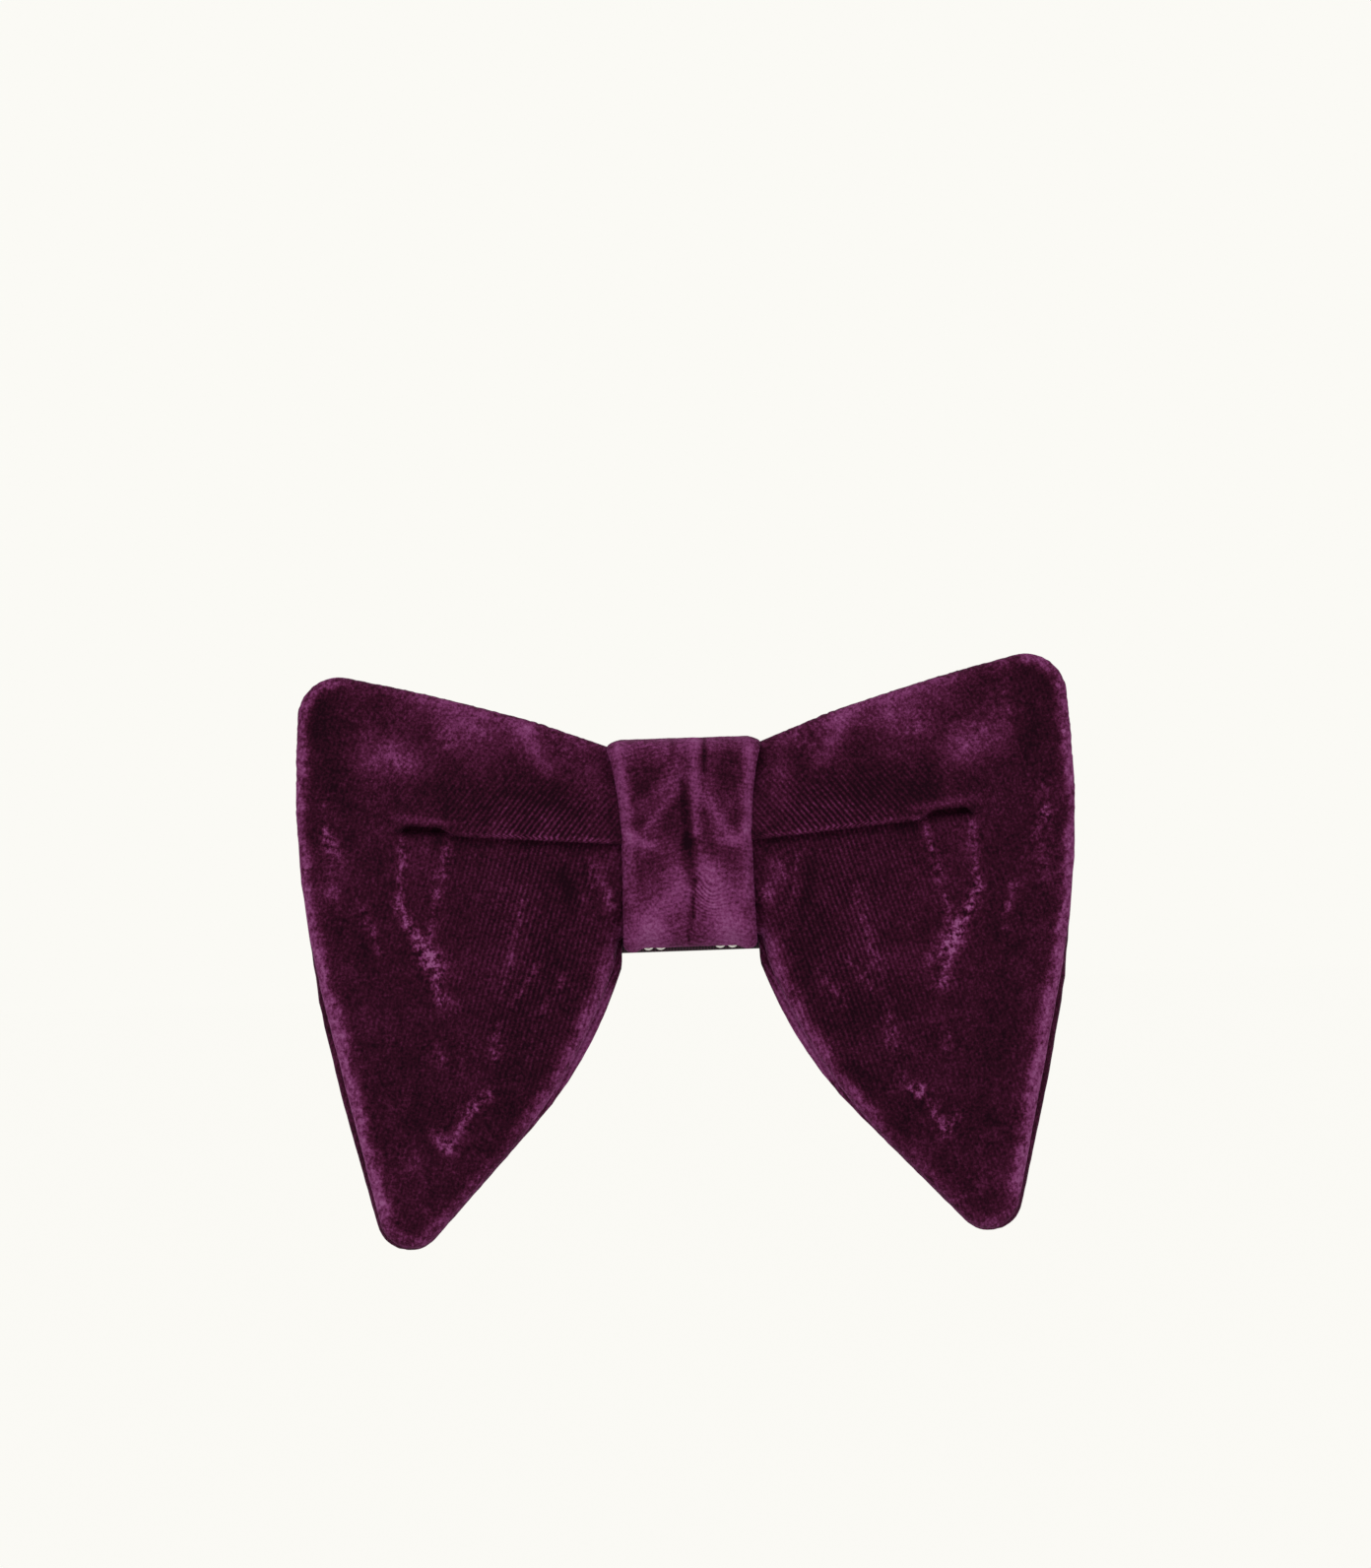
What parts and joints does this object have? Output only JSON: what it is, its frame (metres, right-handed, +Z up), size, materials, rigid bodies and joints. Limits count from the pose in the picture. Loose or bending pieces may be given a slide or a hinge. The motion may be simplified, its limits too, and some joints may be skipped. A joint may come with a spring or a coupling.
{
  "type": "bow tie",
  "caption": "Oversized plum velvet butterfly bow tie with a pleated knot and an adjustable hooked neck strap of ribbed ribbon.",
  "frame": {"origin": "middle of the rear face of the ribbed tape behind the knot, where it rests on the collar", "axes": "+Z up as worn, the front of the bow faces -Y, +X to the right of someone facing the wearer"},
  "size_m": [0.1506, 0.1341, 0.1103],
  "materials": {
    "velvet": "crushed cotton velvet",
    "interlining": "woven canvas",
    "thread": "twisted polyester",
    "ribbed_tape": "ribbed grosgrain",
    "felt": "pressed felt",
    "silver_wire": "nickel plated"
  },
  "bodies": {
    "bow": {"front_bow_face": "velvet", "front_bow_interlining": "interlining", "front_bow_back": "velvet", "back_bow_face": "velvet", "back_bow_interlining": "interlining", "back_bow_back": "velvet", "gather_thread": "thread", "knot_interlining": "interlining", "knot_wrap": "velvet", "knot_back_seam": "thread", "back_tape": "ribbed_tape", "back_tape_tacks": "thread", "back_pad": "felt", "tape_eyes": "silver_wire"},
    "ring_left": {"ring_left": "silver_wire"},
    "ring_right": {"ring_right": "silver_wire"},
    "strap_left_front": {"strap_left_front": "ribbed_tape", "strap_left_front_tack": "thread"},
    "strap_right_front": {"strap_right_front": "ribbed_tape", "strap_right_front_tack": "thread"},
    "strap_left_back": {"strap_left_back": "ribbed_tape", "strap_left_back_tack": "thread"},
    "strap_right_back": {"strap_right_back": "ribbed_tape", "strap_right_back_tack": "thread"},
    "clasp_eye": {"clasp_eye": "silver_wire"},
    "clasp_hook": {"clasp_hook": "silver_wire"},
    "slider": {"slider": "silver_wire"}
  },
  "joints": [
    {"name": "ring_left_swing", "type": "hinge", "parent": "bow", "child": "ring_left", "pos_m": [-0.0165, -0.00175, 0], "axis": [0, 0, 1], "range_deg": [0, 8]},
    {"name": "strap_left_swing", "type": "hinge", "parent": "ring_left", "child": "strap_left_front", "pos_m": [-0.023, -0.00175, 0], "axis": [0, 0, 1], "range_deg": [0, 10]},
    {"name": "strap_left_fold", "type": "hinge", "parent": "strap_left_front", "child": "strap_left_back", "pos_m": [-0.062, 0.062, 0], "axis": [0, 0, 1], "range_deg": [0, 75]},
    {"name": "ring_right_swing", "type": "hinge", "parent": "bow", "child": "ring_right", "pos_m": [0.0165, -0.00175, 0], "axis": [0, 0, -1], "range_deg": [0, 8]},
    {"name": "strap_right_swing", "type": "hinge", "parent": "ring_right", "child": "strap_right_front", "pos_m": [0.023, -0.00175, 0], "axis": [0, 0, -1], "range_deg": [0, 10]},
    {"name": "strap_right_fold", "type": "hinge", "parent": "strap_right_front", "child": "strap_right_back", "pos_m": [0.062, 0.062, 0], "axis": [0, 0, -1], "range_deg": [0, 75]},
    {"name": "clasp_eye_swing", "type": "hinge", "parent": "strap_left_back", "child": "clasp_eye", "pos_m": [-0.0125, 0.112, 0], "axis": [0, 0, 1], "range_deg": [-40, 40]},
    {"name": "clasp_hook_swing", "type": "hinge", "parent": "strap_right_back", "child": "clasp_hook", "pos_m": [0.009, 0.112, 0], "axis": [0, 0, 1], "range_deg": [-40, 40]},
    {"name": "slider_travel", "type": "slide", "parent": "strap_right_back", "child": "slider", "axis": [1, 0, 0], "range_m": [-0.006, 0.007]}
  ]
}
